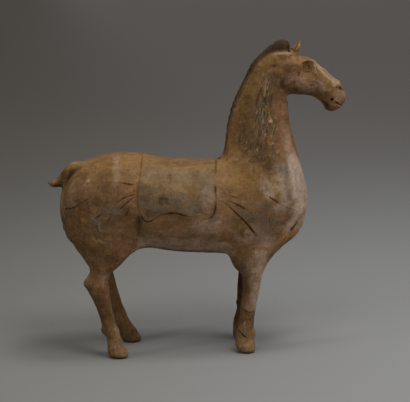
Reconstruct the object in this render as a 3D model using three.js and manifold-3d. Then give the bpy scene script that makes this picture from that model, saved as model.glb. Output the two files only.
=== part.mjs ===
// A standing tomb horse of fired earthenware, one solid, hooves on the ground.
// Millimetres, +Z up, +X the way it faces, +Y its left. The origin is under its middle, on the ground.
import * as THREE from "three";
import { mergeVertices } from "three/addons/utils/BufferGeometryUtils.js";
import Module from "manifold-3d";

// Driving dimensions
const height = 550; // ground to the top of the forelock
const bodyBreadth = 160; // across the hips
const frontStance = 88; // between the centres of the front hooves
const hindStance = 100; // between the centres of the hind hooves
const frontHoofBreadth = 36;
const hindHoofBreadth = 37;
const frontStep = 10.5; // how far the left front hoof stands ahead of the right one
const hindStep = 29; // how far the left hind hoof stands ahead of the right one
const wornHeelHeight = 9;
const wornHeelLength = 14;
const maneThickness = 10;
const forelockThickness = 14;
const tailThickness = 18;
const earSpread = 24; // between the roots of the ears
const earThickness = 13;
const earHollowHeight = 22;
const earHollowDepth = 3.5;
const browLength = 32;
const eyeLength = 12;
const eyeSocketDepth = 3.5;
const jawLength = 54;
const bitHoleDiameter = 4.5;
const bitHoleDepth = 6;
const nostrilDiameter = 4.5;
const nostrilDepth = 7;
const mouthGap = 2; // height of the cut between the lips
const mouthDepth = 2.5;
const saddleClothRelief = 2; // how far the cloth stands out of the flank

// The figure is laid out on a grid of this many squares to its height.
const squareCount = 550;
const square = height / squareCount;
const seamReach = 36; // how far from the seams of the legs the clay is worked smooth
const seamPasses = 18;
const clayTone = 0x9a7450;

const wasm = await Module();
wasm.setup();

const onGrid = ([x, z], y = 0) => new THREE.Vector3(x * square, y, z * square);

// Solids

// A closed three.js geometry as a solid that can be joined and cut.
function solidOf(geometry) {
  const bare = geometry.clone();
  for (const name of Object.keys(bare.attributes))
    if (name !== "position") bare.deleteAttribute(name);
  const merged = mergeVertices(bare, 1e-4);
  return new wasm.Manifold(
    new wasm.Mesh({
      numProp: 3,
      vertProperties: merged.attributes.position.array,
      triVerts: new Uint32Array(merged.index.array),
    }),
  );
}

function geometryOf(solid) {
  const mesh = solid.getMesh();
  return new THREE.BufferGeometry()
    .setAttribute("position", new THREE.BufferAttribute(mesh.vertProperties, 3))
    .setIndex(new THREE.BufferAttribute(mesh.triVerts, 1));
}

// The join of several solids, worked smooth where they meet, as wet clay is with a thumb.
function blend(solids, { reach, passes }) {
  const mesh = solids.reduce((sum, solid) => sum.add(solid)).getMesh();
  const count = mesh.vertProperties.length / 3;
  const points = Array.from({ length: count }, (_, i) =>
    new THREE.Vector3().fromArray(mesh.vertProperties, 3 * i),
  );
  // The same place can be held twice where two solids meet.
  const same = Array.from({ length: count }, (_, i) => i);
  mesh.mergeFromVert.forEach((from, i) => (same[from] = mesh.mergeToVert[i]));
  const corners = mesh.triVerts.map((i) => same[i]);
  const around = points.map(() => new Set());
  const owners = points.map(() => new Set());
  let run = 0;
  for (let i = 0; i < corners.length; i += 3) {
    while (i >= mesh.runIndex[run + 1]) run++;
    for (let k = 0; k < 3; k++) {
      const [here, next] = [corners[i + k], corners[i + ((k + 1) % 3)]];
      around[here].add(next);
      around[next].add(here);
      owners[here].add(mesh.runOriginalID[run]);
    }
  }
  // Distance along the skin from the nearest seam.
  const away = owners.map((set) => (set.size > 1 ? 0 : Infinity));
  let edge = away.flatMap((d, i) => (d === 0 ? [i] : []));
  while (edge.length) {
    const changed = new Set();
    for (const i of edge)
      for (const j of around[i]) {
        const d = away[i] + points[i].distanceTo(points[j]);
        if (d < away[j] && d < reach) {
          away[j] = d;
          changed.add(j);
        }
      }
    edge = [...changed];
  }
  const soft = away.flatMap((d, i) => (d < reach && around[i].size ? [i] : []));
  for (let pass = 0; pass < passes; pass++) {
    const moved = soft.map((i) => {
      const mean = new THREE.Vector3();
      for (const j of around[i]) mean.add(points[j]);
      mean.divideScalar(around[i].size);
      const weight = THREE.MathUtils.smoothstep(reach - away[i], 0, reach);
      return points[i].clone().lerp(mean, weight / 2);
    });
    soft.forEach((i, k) => points[i].copy(moved[k]));
  }
  const geometry = new THREE.BufferGeometry().setFromPoints(points);
  geometry.setIndex([...corners]);
  return solidOf(geometry);
}

// One ring of a loft: front or top point a, back or bottom point b, breadth across them about y.
// full is 2 for an ellipse and more for a squarer section; narrow takes breadth off the side of a.
function ring({ a, b, y, half, full, narrow }, around) {
  const middle = a.clone().add(b).multiplyScalar(0.5);
  const reach = a.clone().sub(b).multiplyScalar(0.5);
  const shaped = (value) => Math.sign(value) * Math.abs(value) ** (2 / full);
  return Array.from({ length: around }, (_, j) => {
    const angle = (2 * Math.PI * j) / around;
    const along = shaped(Math.cos(angle));
    const across = shaped(Math.sin(angle)) * half * (1 - narrow * along);
    return middle
      .clone()
      .addScaledVector(reach, along)
      .add(new THREE.Vector3(0, y + across, 0));
  });
}

// A closed skin over rings of points, fanned shut about the middle of the first and last ring.
function skin(rings) {
  const around = rings[0].length;
  const points = rings.flat();
  const middleOf = (points) =>
    points
      .reduce((sum, point) => sum.add(point), new THREE.Vector3())
      .divideScalar(points.length);
  const first = points.push(middleOf(rings[0])) - 1;
  const last = points.push(middleOf(rings.at(-1))) - 1;
  const faces = [];
  const end = (rings.length - 1) * around;
  for (let j = 0; j < around; j++) {
    const next = (j + 1) % around;
    faces.push(first, next, j, last, end + j, end + next);
    for (let i = 0; i < end; i += around)
      faces.push(i + j, i + next, i + around + j, i + next, i + around + next, i + around + j);
  }
  const geometry = new THREE.BufferGeometry().setFromPoints(points);
  geometry.setIndex(faces);
  const solid = solidOf(geometry);
  if (solid.volume() > 0) return solid;
  geometry.setIndex(faces.reverse());
  return solidOf(geometry);
}

// A loft through stations: smooth curves run through the two rails and through the breadths.
function loft(stations, { around, steps }) {
  const through = (pick) =>
    new THREE.CatmullRomCurve3(stations.map(pick), false, "centripetal");
  const a = through((s) => s.a);
  const b = through((s) => s.b);
  const size = through((s) => new THREE.Vector3(s.y ?? 0, s.half, 0));
  const shape = through((s) => new THREE.Vector3(s.full ?? 2, s.narrow ?? 0, 0));
  const count = Math.round((stations.length - 1) * steps);
  return skin(
    Array.from({ length: count + 1 }, (_, i) => {
      const t = i / count;
      const [width, form] = [size.getPoint(t), shape.getPoint(t)];
      return ring(
        { a: a.getPoint(t), b: b.getPoint(t), y: width.x, half: width.y, full: form.x, narrow: form.y },
        around,
      );
    }),
  );
}

// Body, neck and head: one loft from the rump to the lips. Each station has the point on the
// back or crest, the point on the belly or throat, and the breadth as a share of the hips'.
const trunkStations = [
  // rump
  [[-239, 277], [-240, 254], 0.06],
  [[-234.5, 292], [-239, 238], 0.44, 0, 2.2],
  [[-221.5, 314], [-233, 216], 0.72, 0.03, 2.3],
  [[-204, 334.5], [-204, 202], 0.89, 0.06, 2.4],
  [[-175.5, 348], [-172, 193.5], 0.975, 0.08, 2.5],
  [[-135, 355.5], [-130, 189], 1.0, 0.07, 2.4],
  // barrel
  [[-90.5, 351], [-88, 186.5], 0.965, 0.04, 2.2],
  [[-66, 345.5], [-66, 181], 0.95, 0.02, 2.1],
  [[-40, 341.5], [-40, 177], 0.94, 0, 2.1],
  [[0, 339], [0, 173.5], 0.94, 0.02, 2.1],
  [[28, 339.5], [40, 171.5], 0.945, 0.04, 2.2],
  // chest, turning about the withers
  [[39, 341.5], [85, 167.5], 0.935, 0.07, 2.3],
  [[44, 345.5], [137, 174], 0.92, 0.08, 2.3],
  [[47.5, 352], [176, 195.5], 0.9, 0.07, 2.2],
  [[50, 361], [192, 227], 0.875, 0.04, 2.1],
  [[53, 370], [198.5, 259], 0.85, 0.03],
  [[56.5, 379], [195.5, 293], 0.81, 0.03],
  // neck
  [[59.5, 390], [187.5, 323], 0.745, 0.12],
  [[63.5, 403.5], [178.5, 349.5], 0.665, 0.18],
  [[68.5, 420.5], [171.5, 377], 0.585, 0.22],
  [[74.5, 439.5], [165, 403], 0.52, 0.24],
  [[83.5, 462], [161.5, 425.5], 0.46, 0.24],
  [[96.5, 486], [160.5, 443], 0.42, 0.2],
  // head, turning about the throat
  [[111.5, 506], [161.5, 450.5], 0.4, 0.12],
  [[127.5, 518.5], [165.5, 452.5], 0.395, 0.05],
  [[143.5, 526], [172, 452.5], 0.4, 0],
  [[161, 525.5], [181, 452], 0.405, -0.04, 2.2],
  [[177.5, 520.5], [192, 451.5], 0.405, -0.06, 2.3],
  [[194.5, 518.5], [203, 448.5], 0.39, -0.06, 2.3],
  [[206.5, 512.5], [213.5, 443.5], 0.345, -0.02, 2.3],
  [[218.5, 501.5], [222, 436.5], 0.3, 0, 2.3],
  [[231.5, 490], [227, 430], 0.265, 0, 2.3],
  [[243, 481], [230.5, 424], 0.25, 0, 2.3],
  [[252.5, 472], [237, 421], 0.25, 0, 2.4],
  [[259.5, 462.5], [246.5, 423], 0.24, 0, 2.5],
  [[264, 453.5], [255, 429], 0.205, 0, 2.5],
  [[264.5, 445], [260.5, 437.5], 0.1],
];

function trunk(grow = 0) {
  const stations = trunkStations.map(([top, bottom, share, narrow, full]) => {
    const [a, b] = [onGrid(top), onGrid(bottom)];
    const outward = a.clone().sub(b).normalize().multiplyScalar(grow);
    return {
      a: a.add(outward),
      b: b.sub(outward),
      half: (share * bodyBreadth) / 2 + grow,
      narrow,
      full,
    };
  });
  return loft(stations, { around: 24, steps: 2 });
}

// A leg's stations: front point, back point, breadth as a share of the hoof's, and how far its
// middle has moved from the body (0) to over the hoof (1).
const frontLegStations = [
  [[146, 284], [50, 284], 1.5, 0],
  [[158, 250], [44, 250], 1.66, 0.1],
  [[164, 222], [42, 225], 1.68, 0.25],
  [[152, 192], [46, 196], 1.56, 0.5],
  [[129, 171], [51, 172], 1.4, 0.75],
  [[118, 153.5], [65.5, 155], 1.26, 0.9],
  [[111, 138.5], [75, 140], 1.15, 1],
  [[108.5, 121], [77, 122], 1.03, 1],
  [[104, 100], [75.5, 100], 0.92, 1],
  [[100.5, 82], [72.5, 82], 0.88, 1],
  [[98, 66], [71.5, 66], 0.82, 1],
  [[96.5, 51], [69, 49], 0.78, 1],
  [[97.5, 38], [64.5, 38], 0.9, 1],
  [[98, 28], [63, 29], 0.9, 1],
  [[99.5, 14], [62.5, 14], 0.97, 1],
  [[102, 0], [64, 0], 1, 1],
];
const hindLegStations = [
  [[-120, 306], [-216, 306], 1.5, 0],
  [[-102, 272], [-230, 276], 1.76, 0.1],
  [[-91, 231], [-238.5, 243], 1.9, 0.25],
  [[-97, 204], [-237.5, 217], 1.82, 0.4],
  [[-111, 186.5], [-219.5, 198.5], 1.62, 0.55],
  [[-127.5, 173], [-206, 182], 1.38, 0.72],
  [[-141.5, 160], [-196, 166], 1.19, 0.86],
  [[-153.5, 151], [-189, 157], 1.06, 0.95],
  [[-157, 141], [-198.5, 143.5], 0.98, 1],
  [[-157.5, 131], [-202, 131.5], 0.95, 1],
  [[-156, 117], [-194.5, 118], 0.9, 1],
  [[-154.5, 104], [-187, 103.5], 0.84, 1],
  [[-151.5, 86], [-179, 85.5], 0.79, 1],
  [[-148.5, 69], [-175, 70], 0.78, 1],
  [[-144, 56], [-171, 56], 0.84, 1],
  [[-142, 45], [-171, 44.5], 0.86, 1],
  [[-138, 35], [-163.5, 35.5], 0.76, 1],
  [[-132, 24], [-163, 24], 0.86, 1],
  [[-126.5, 12], [-163.5, 12], 0.96, 1],
  [[-121.5, 0], [-160, 0], 1, 1],
];

// side is -1 for the right legs and 1 for the left, and step moves the hoof forward.
function leg(table, { side, stance, hoofBreadth, step, top }) {
  const nearBody = bodyBreadth * 0.245;
  const stations = table.map(([front, back, share, over]) => {
    const stride = (z) => step * Math.max(0, 1 - (z * square) / top);
    const stepped = ([x, z]) => onGrid([x, z]).setX(x * square + stride(z));
    return {
      a: stepped(front),
      b: stepped(back),
      y: side * THREE.MathUtils.lerp(nearBody, stance / 2, over),
      half: (share * hoofBreadth) / 2,
      full: 2.15,
    };
  });
  return loft(stations, { around: 14, steps: 1.5 });
}

const legs = () => {
  const front = { stance: frontStance, hoofBreadth: frontHoofBreadth, top: 240 * square };
  const hind = { stance: hindStance, hoofBreadth: hindHoofBreadth, top: 220 * square };
  return [
    leg(frontLegStations, { ...front, side: -1, step: 0 }),
    leg(frontLegStations, { ...front, side: 1, step: frontStep }),
    leg(hindLegStations, { ...hind, side: -1, step: 0 }),
    leg(hindLegStations, { ...hind, side: 1, step: hindStep }),
  ];
};

// The roached mane, a ridge along the crest that ends in a round forelock between the ears.
// Each station has the outer edge, a point inside the neck, and a share of the thickness.
const maneStations = [
  [[46, 346], [60, 350], 0.6],
  [[49.5, 368], [68, 365], 0.9],
  [[53, 392], [74, 386], 1],
  [[60, 420], [82, 412], 1],
  [[67.5, 449.5], [90, 441], 1],
  [[79.5, 475.5], [101, 464], 1],
  [[95, 503], [114, 489], 1],
  [[112, 526], [128, 507], 1.1],
  [[128, 539], [139, 516], 1.25],
];
const forelockStations = [
  [[140, 547], [148, 519], 1],
  [[151, 550], [156, 520], 1],
  [[159.5, 547], [162, 521], 0.93],
  [[164.5, 539.5], [164, 524], 0.57],
];

function mane() {
  const stationsOf = (table, thickness) =>
    table.map(([outer, inner, share]) => ({
      a: onGrid(outer),
      b: onGrid(inner),
      half: (share * thickness) / 2,
      full: 2.6,
    }));
  const roach = stationsOf(maneStations, maneThickness);
  const forelock = stationsOf(forelockStations, forelockThickness);
  return loft([...roach, ...forelock], { around: 10, steps: 2 });
}

// The docked tail: it bends down against the rump and its tip turns back.
function tail() {
  const path = [
    [-192, 331.5, 0.7],
    [-208, 333, 0.95],
    [-219.5, 327.5, 1.0],
    [-228, 317, 1.08],
    [-235, 307.5, 1.08],
    [-243.5, 302.5, 0.98],
    [-251.5, 301.5, 0.82],
    [-256.5, 302, 0.54],
    [-261.5, 302.5, 0.1],
  ];
  const middle = new THREE.CatmullRomCurve3(path.map((p) => onGrid(p)));
  const stations = path.map(([, , share], i) => {
    const t = i / (path.length - 1);
    const heading = middle.getTangent(t);
    const across = new THREE.Vector3(-heading.z, 0, heading.x);
    const half = (share * tailThickness) / 2;
    const at = middle.getPoint(t);
    return {
      a: at.clone().addScaledVector(across, half),
      b: at.clone().addScaledVector(across, -half),
      half,
    };
  });
  return loft(stations, { around: 10, steps: 2 });
}

// A pricked ear: a leaf that rises forward from the poll, hollowed in front.
function ear(side) {
  const root = earSpread / 2;
  const stations = [
    [[178, 514], [159, 516], 0.9, 0],
    [[178.5, 525], [164.5, 527], 1, 0.4],
    [[179.5, 534], [170.5, 535.5], 0.85, 0.8],
    [[180.5, 541], [175.5, 541.5], 0.55, 1.2],
    [[180.5, 546], [179, 546.5], 0.14, 1.5],
  ].map(([front, back, share, out]) => ({
    a: onGrid(front),
    b: onGrid(back),
    y: side * (root + out),
    half: (share * earThickness) / 2,
  }));
  return loft(stations, { around: 10, steps: 2 });
}

// A ball drawn out to the given breadths along X, Y and Z.
function ball([length, breadth, tall], [x, z], y, segments = 12) {
  const geometry = new THREE.SphereGeometry(0.5, segments, Math.round(segments * 0.75));
  geometry.scale(length, breadth, tall).translate(x * square, y, z * square);
  return solidOf(geometry);
}

// On each side of the head: a brow over the eye, and the round of the jaw.
function bones(side) {
  const half = bodyBreadth / 2;
  return [
    ball([browLength, browLength * 0.62, browLength * 0.47], [193.5, 508.5], side * 0.23 * half),
    ball([jawLength, jawLength * 0.4, jawLength * 0.92], [186, 479], side * 0.3 * half),
  ];
}

// The eyeball, and the hollow under the brow that it lies in.
const eye = (side) =>
  ball([eyeLength, eyeLength * 0.75, eyeLength * 0.75], [194, 504.5], side * 0.165 * bodyBreadth, 10);

function eyeSocket(side) {
  const cheek = 0.19 * bodyBreadth; // from the middle of the head to its skin here
  const breadth = eyeLength;
  const y = side * (cheek - eyeSocketDepth + breadth / 2);
  return ball([2.2 * eyeLength, breadth, 1.1 * eyeLength], [192, 503.5], y);
}

// A rod across the head, from near its middle outwards, to cut a hole in one side.
function sideRod(diameter, [x, z], side, from) {
  const length = bodyBreadth / 2;
  const rod = new THREE.CylinderGeometry(diameter / 2, diameter / 2, length, 10);
  rod.translate(x * square, side * (from + length / 2), z * square);
  return solidOf(rod);
}

// Cuts in the head: the line of the lips, the bit holes at its corners, nostrils, ear hollows.
function headCuts() {
  const [corner, lip] = [[236, 446.5], [272, 428.5]];
  const [from, to] = [onGrid(corner), onGrid(lip)];
  const line = new THREE.BoxGeometry(from.distanceTo(to), bodyBreadth, mouthGap);
  line.rotateY(Math.atan2(from.z - to.z, to.x - from.x));
  line.translate((from.x + to.x) / 2, 0, (from.z + to.z) / 2);
  const cuts = [solidOf(line).subtract(trunk(-mouthDepth))];
  const muzzle = (0.25 * bodyBreadth) / 2; // from the middle of the muzzle to its side
  const earMiddle = earSpread / 2 + 1.5;
  for (const side of [-1, 1]) {
    cuts.push(
      sideRod(bitHoleDiameter, corner, side, muzzle - bitHoleDepth),
      sideRod(nostrilDiameter, [252, 463], side, muzzle - nostrilDepth),
      sideRod(nostrilDiameter / 2, [246, 465], side, muzzle - nostrilDepth / 2),
      ball([2 * earHollowDepth, earThickness / 2, earHollowHeight], [180.5, 535], side * earMiddle),
    );
  }
  return cuts;
}

// The saddle cloth: its outline, cut through a slightly grown body, stands out on both flanks.
const clothEdge = [
  [-98, 356],
  [-102, 336],
  [-107, 312],
  [-109, 290],
  [-109, 270],
  [-106, 254],
  [-98, 246],
  [-88, 245],
  [-79, 252],
  [-66, 257],
  [-50, 258],
  [-34, 254],
  [-18, 248],
  [-2, 245],
  [12, 247],
  [20, 254],
  [24, 268],
  [25, 300],
  [27, 325],
  [32, 352],
];

function saddleCloth() {
  const edge = new THREE.SplineCurve(
    clothEdge.map(([x, z]) => new THREE.Vector2(x * square, z * square)),
  );
  const above = 30 * square;
  const outline = new THREE.Shape(edge.getPoints(2 * clothEdge.length));
  outline.lineTo(edge.getPoint(1).x, edge.getPoint(1).y + above);
  outline.lineTo(edge.getPoint(0).x, edge.getPoint(0).y + above);
  const prism = new THREE.ExtrudeGeometry(outline, { depth: 2 * bodyBreadth, bevelEnabled: false });
  prism.rotateX(Math.PI / 2).translate(0, bodyBreadth, 0);
  return solidOf(prism).intersect(trunk(saddleClothRelief));
}

// The heel of the right front hoof is worn away at a slant.
function wornHeel() {
  const heel = frontLegStations.at(-1)[1][0] * square;
  const wedge = new THREE.BoxGeometry(6 * wornHeelLength, frontStance / 2, 2 * wornHeelHeight);
  wedge.translate(0, 0, -wornHeelHeight);
  wedge.rotateY(Math.atan2(wornHeelHeight, wornHeelLength));
  wedge.translate(heel + wornHeelLength, -frontStance / 2, 0);
  return solidOf(wedge);
}

function horse() {
  const body = blend([trunk(), ...legs()], { reach: seamReach, passes: seamPasses });
  const ends = [...bones(-1), ...bones(1), ear(-1), ear(1), tail()];
  const shaped = blend([body, ...ends], { reach: seamReach / 4, passes: seamPasses / 6 });
  const socketed = shaped.subtract(eyeSocket(-1)).subtract(eyeSocket(1));
  const pieces = [socketed, mane(), eye(-1), eye(1), saddleCloth()];
  const joined = pieces.reduce((sum, piece) => sum.add(piece));
  return [...headCuts(), wornHeel()].reduce((rest, cut) => rest.subtract(cut), joined);
}

const material = new THREE.MeshStandardMaterial({ color: clayTone, roughness: 0.9, metalness: 0 });
const geometry = geometryOf(horse());
geometry.computeBoundingBox();
const { min, max } = geometry.boundingBox;
geometry.translate(-(min.x + max.x) / 2, -(min.y + max.y) / 2, -min.z);
const figure = new THREE.Mesh(geometry, material);
figure.name = "horse";
const part = new THREE.Group();
part.add(figure);
export default part;
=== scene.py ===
"""A standing tomb horse of fired earthenware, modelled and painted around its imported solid."""

import math

import bpy
import numpy as np
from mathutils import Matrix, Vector, noise
from mathutils.bvhtree import BVHTree
from mathutils.kdtree import KDTree


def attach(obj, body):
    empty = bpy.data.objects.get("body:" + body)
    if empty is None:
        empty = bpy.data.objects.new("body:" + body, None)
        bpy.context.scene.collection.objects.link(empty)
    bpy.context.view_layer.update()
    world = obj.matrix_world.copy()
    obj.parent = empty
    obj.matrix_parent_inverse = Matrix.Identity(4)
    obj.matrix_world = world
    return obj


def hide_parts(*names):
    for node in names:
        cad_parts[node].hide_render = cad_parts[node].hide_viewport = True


MM = 0.001
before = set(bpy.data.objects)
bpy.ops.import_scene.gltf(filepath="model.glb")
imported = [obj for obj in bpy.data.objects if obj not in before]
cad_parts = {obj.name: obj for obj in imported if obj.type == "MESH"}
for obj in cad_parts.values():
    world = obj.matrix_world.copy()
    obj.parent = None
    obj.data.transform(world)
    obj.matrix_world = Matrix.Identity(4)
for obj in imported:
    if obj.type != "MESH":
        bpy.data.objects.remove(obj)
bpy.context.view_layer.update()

# The photograph's camera, in the figure's own frame
AZIMUTH = math.radians(-6.5)
ELEVATION = math.radians(10.0)
DISTANCE = 2300 * MM
AIM = Vector((-1.46 * MM, 0, 262 * MM))
FOCAL = 1304  # in pixels of a frame 410 wide
FRAME_WIDTH = 410
AIM_RIGHT = -8.5  # where the aim lies, in pixels from the middle of the frame
AIM_DOWN = 2.0

# The figure's skin. Faces out to twice LINE_REACH from a drawn line are split once, and on the right
# side those within LINE_REACH once more.
MERGE = 0.01 * MM  # points of the solid that are nearer than this are one point
SKIN_GRID = 3.4 * MM
EAR_GRID = 0.8 * MM
LINE_REACH = 1.9 * MM
SOLE_SHADOW_REACH = 7 * MM  # how high up the hooves a painted contact shadow reaches
RIGHT, LEFT = 1, -1  # places are given on the right flank, and LEFT turns them to the other side
BOTH = (RIGHT, LEFT)

# Where the head and its ears are
HEAD_REAR = 150 * MM
HEAD_UNDERSIDE = 415 * MM
EAR_ROOT = 530 * MM  # the height at which the ears' blades leave the head
EAR_REAR = 160 * MM
EAR_INSIDE = 5.5 * MM  # the ears stand further than this from the middle
EAR_BOX_PLACE = (172 * MM, -12.5 * MM, 535.5 * MM)  # a box that holds the right ear's blade
EAR_BOX_SIZE = (24 * MM, 15 * MM, 31 * MM)


def deselect():
    if bpy.context.object and bpy.context.object.mode != "OBJECT":
        bpy.ops.object.mode_set(mode="OBJECT")
    bpy.ops.object.select_all(action="DESELECT")


def activate(piece):
    deselect()
    piece.select_set(True)
    bpy.context.view_layer.objects.active = piece


def apply(piece, kind, **settings):
    """Adds a modifier of that kind to a piece and applies it."""
    activate(piece)
    modifier = piece.modifiers.new(kind.title(), kind)
    for name, value in settings.items():
        setattr(modifier, name, value)
    bpy.ops.object.modifier_apply(modifier=modifier.name)


# Reading and moving a mesh's points


def points_of(piece):
    flat = np.empty(3 * len(piece.data.vertices))
    piece.data.vertices.foreach_get("co", flat)
    return flat.reshape(-1, 3)


def normals_of(piece):
    flat = np.empty(3 * len(piece.data.vertices))
    piece.data.vertex_normals.foreach_get("vector", flat)
    return flat.reshape(-1, 3)


def place_points(piece, points):
    piece.data.vertices.foreach_set("co", points.ravel())
    piece.data.update()


def smoothstep(low, high, value):
    t = np.clip((value - low) / (high - low), 0, 1)
    return t * t * (3 - 2 * t)


# The skin is the solid's own form, evenly meshed, with its steps eased: their places, their reaches and
# how far each is eased

STEPS = [
    ((-228, -28, 213), (30, 50, 30), 1),
    ((64, -44, 154), (20, 26, 20), 0.4),
    ((-194, -58, 152), (10, 18, 12), 0.4),
]


def copy_solid(name):
    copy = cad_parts["horse"].copy()
    copy.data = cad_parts["horse"].data.copy()
    copy.name = copy.data.name = name
    bpy.context.collection.objects.link(copy)
    copy.data.materials.clear()
    activate(copy)
    bpy.ops.object.mode_set(mode="EDIT")
    bpy.ops.mesh.select_all(action="SELECT")
    bpy.ops.mesh.remove_doubles(threshold=MERGE)
    bpy.ops.mesh.tris_convert_to_quads()
    bpy.ops.object.mode_set(mode="OBJECT")
    return copy


def on_ears(points):
    return (np.abs(points[:, 1]) > EAR_INSIDE) & (points[:, 0] > EAR_REAR)


def box_ears():
    """A box around each ear's blade, both as one piece."""
    bpy.ops.mesh.primitive_cube_add(size=1, location=EAR_BOX_PLACE)
    box = bpy.context.object
    box.scale = EAR_BOX_SIZE
    other = box.modifiers.new("Other_side", "ARRAY")
    other.count = 2
    other.use_relative_offset = False
    other.use_constant_offset = True
    other.constant_offset_displace = (0, -2 * EAR_BOX_PLACE[1] / EAR_BOX_SIZE[1], 0)
    return box


def make_ears():
    """The thin blades of the ears, from the solid at a finer grid, with roots that dive into the head."""
    ears = copy_solid("ears")
    box = box_ears()
    apply(ears, "BOOLEAN", operation="INTERSECT", object=box, solver="EXACT")
    bpy.data.objects.remove(box)
    apply(ears, "REMESH", mode="VOXEL", voxel_size=EAR_GRID)
    apply(ears, "SMOOTH", factor=0.5, iterations=4)
    points = points_of(ears)
    root = 1 - smoothstep(EAR_ROOT - 6 * MM, EAR_ROOT + 1 * MM, points[:, 2])
    points -= normals_of(ears) * (2 * MM * root)[:, None]
    place_points(ears, points)
    return ears


def flatten_stubs(skin):
    """Takes off what the coarse skin has of the ears, which the fine blades replace."""
    points = points_of(skin)
    stub = on_ears(points) & (points[:, 2] > EAR_ROOT)
    points[stub, 2] = EAR_ROOT + 0.05 * (points[stub, 2] - EAR_ROOT)
    place_points(skin, points)


def ease_steps(skin):
    """Smooths over the steps that the solid has behind the rump, at the elbows and above the hocks."""
    points = points_of(skin)
    group = skin.vertex_groups.new(name="steps")
    for place, reach, amount in STEPS:
        for side in BOTH:
            apart = (points - np.array(place) * (1, side, 1) * MM) / (np.array(reach) * MM)
            weights = amount * (1 - smoothstep(0.5, 1, np.linalg.norm(apart, axis=1)))
            for index in np.flatnonzero(weights > 0):
                group.add([int(index)], float(weights[index]), "ADD")
    apply(skin, "SMOOTH", factor=0.5, iterations=60, vertex_group="steps")
    skin.vertex_groups.clear()


def make_skin():
    skin = copy_solid("tomb_horse")
    apply(skin, "SUBSURF", levels=1, render_levels=1)
    apply(skin, "REMESH", mode="VOXEL", voxel_size=SKIN_GRID)
    apply(skin, "SMOOTH", factor=0.5, iterations=4)
    flatten_stubs(skin)
    ease_steps(skin)
    ears = make_ears()
    activate(skin)
    ears.select_set(True)
    bpy.ops.object.join()
    return skin


def middles_of(piece):
    flat = np.empty(3 * len(piece.data.polygons))
    piece.data.polygons.foreach_get("center", flat)
    return flat.reshape(-1, 3)


def split_faces(piece, chosen):
    """Splits each chosen face in four."""
    activate(piece)
    mesh = piece.data
    mesh.polygons.foreach_set("select", chosen)
    mesh.vertices.foreach_set("select", np.zeros(len(mesh.vertices), bool))
    mesh.edges.foreach_set("select", np.zeros(len(mesh.edges), bool))
    bpy.ops.object.mode_set(mode="EDIT")
    bpy.ops.mesh.select_mode(type="FACE")
    bpy.ops.mesh.subdivide(number_cuts=1)
    bpy.ops.object.mode_set(mode="OBJECT")


# Lines drawn in the clay with a stick, on the right flank. Places are in mm: X, Y, Z, and where that
# changes along the line, how strong it is there.

CLOTH_RIM = [
    (33, 0, 342, 0.4),
    (31, -18, 340, 0.7),
    (28, -41, 331, 0.8),
    (25, -57, 317, 0.3),
    (24, -64, 306, 0.4),
    (24, -68, 300, 1.2),
    (24, -72, 290, 1.0),
    (24, -75, 280, 0.4),
    (23, -77, 270, 1.1),
    (21, -77, 257, 1.1),
    (15, -77, 249, 0.8),
    (7, -77, 246, 0.4),
    (0, -77, 245, 0.1),
    (-16, -76, 250, 0.2),
    (-31, -76, 253, 0.8),
    (-45, -77, 257, 1.2),
    (-58, -76, 257, 1.2),
    (-72, -77, 254, 0.7),
    (-85, -76, 246, 0.6),
    (-94, -76, 244, 1.0),
    (-101, -77, 248, 1.0),
    (-106, -78, 257, 0.6),
    (-110, -78, 270, 0.5),
    (-111, -76, 290, 0.6),
    (-108, -68, 313, 0.6),
    (-103, -52, 335, 0.8),
    (-99, -26, 350, 0.6),
    (-98, 0, 354, 0.3),
]
SEAT_EDGE = [
    (-63, -9, 346, 0.8),
    (-53, -17, 343, 0.5),
    (-44, -26, 339, 0.7),
    (-37, -33, 335, 1.0),
    (-28, -34, 334, 1.0),
    (-19, -26, 337, 0.7),
    (-13, -17, 339, 0.4),
]
FRONT_STRAPS = [
    [(25, -68, 291, 0.3), (39, -69, 289, 0.4), (53, -70, 284, 0.6), (62, -71, 281, 0.4), (73, -71, 277, 0.2)],
    [(38, -72, 280, 0.5), (57, -72, 272, 0.9), (67, -73, 266, 1.1), (77, -74, 260, 0.8), (84, -73, 253, 0.6)],
    [
        (25, -74, 281, 0.4),
        (37, -73, 274, 0.5),
        (53, -74, 261, 0.9),
        (63, -74, 251, 1.1),
        (74, -73, 240, 1.3),
        (84, -71, 228, 1.5),
        (92, -69, 218, 1.5),
        (98, -67, 208, 1.0),
    ],
]
BREAST_STRAP = [
    (109, -70, 287, 0.5),
    (118, -71, 281, 1.0),
    (126, -70, 276, 0.9),
    (138, -69, 267, 0.4),
    (152, -64, 260, 0.5),
    (164, -57, 256, 0.6),
    (169, -53, 249, 0.4),
]
BREAST_FOLDS = [
    [(172, -48, 240, 0.4), (168, -46, 229, 1), (162, -48, 221, 1.3), (157, -49, 215, 0.9)],
    [(185.5, -27, 232, 0.8), (184.6, -22.5, 223, 1.4), (182, -23, 215.7, 1.2)],
]
CRUPPER = [
    (-239, -25, 261, 0.5),
    (-235, -37, 262, 0.9),
    (-220, -57, 267, 0.9),
    (-208, -66, 275, 0.7),
    (-200, -69, 281, 0.6),
    (-187, -73, 289, 0.4),
    (-180, -73, 293, 0.2),
]
HIND_STRAPS = [
    [
        (-170, -66, 312, 0.15),
        (-152, -70, 311, 0.3),
        (-137, -71, 311, 0.8),
        (-124, -72, 309, 1.0),
        (-113, -72, 308, 0.8),
    ],
    [
        (-111, -76, 292, 0.5),
        (-121, -77, 290, 0.7),
        (-133, -78, 287, 0.8),
        (-140, -78, 282, 0.7),
        (-151, -79, 274, 0.6),
    ],
    [
        (-113, -77, 287, 0.5),
        (-121, -77, 284, 0.7),
        (-130, -79, 277, 0.8),
        (-135, -80, 272, 0.8),
        (-144, -79, 263, 0.6),
    ],
    [(-125, -79, 270, 0.5), (-128, -79, 262, 0.8), (-133, -77, 252, 0.7)],
]
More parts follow.
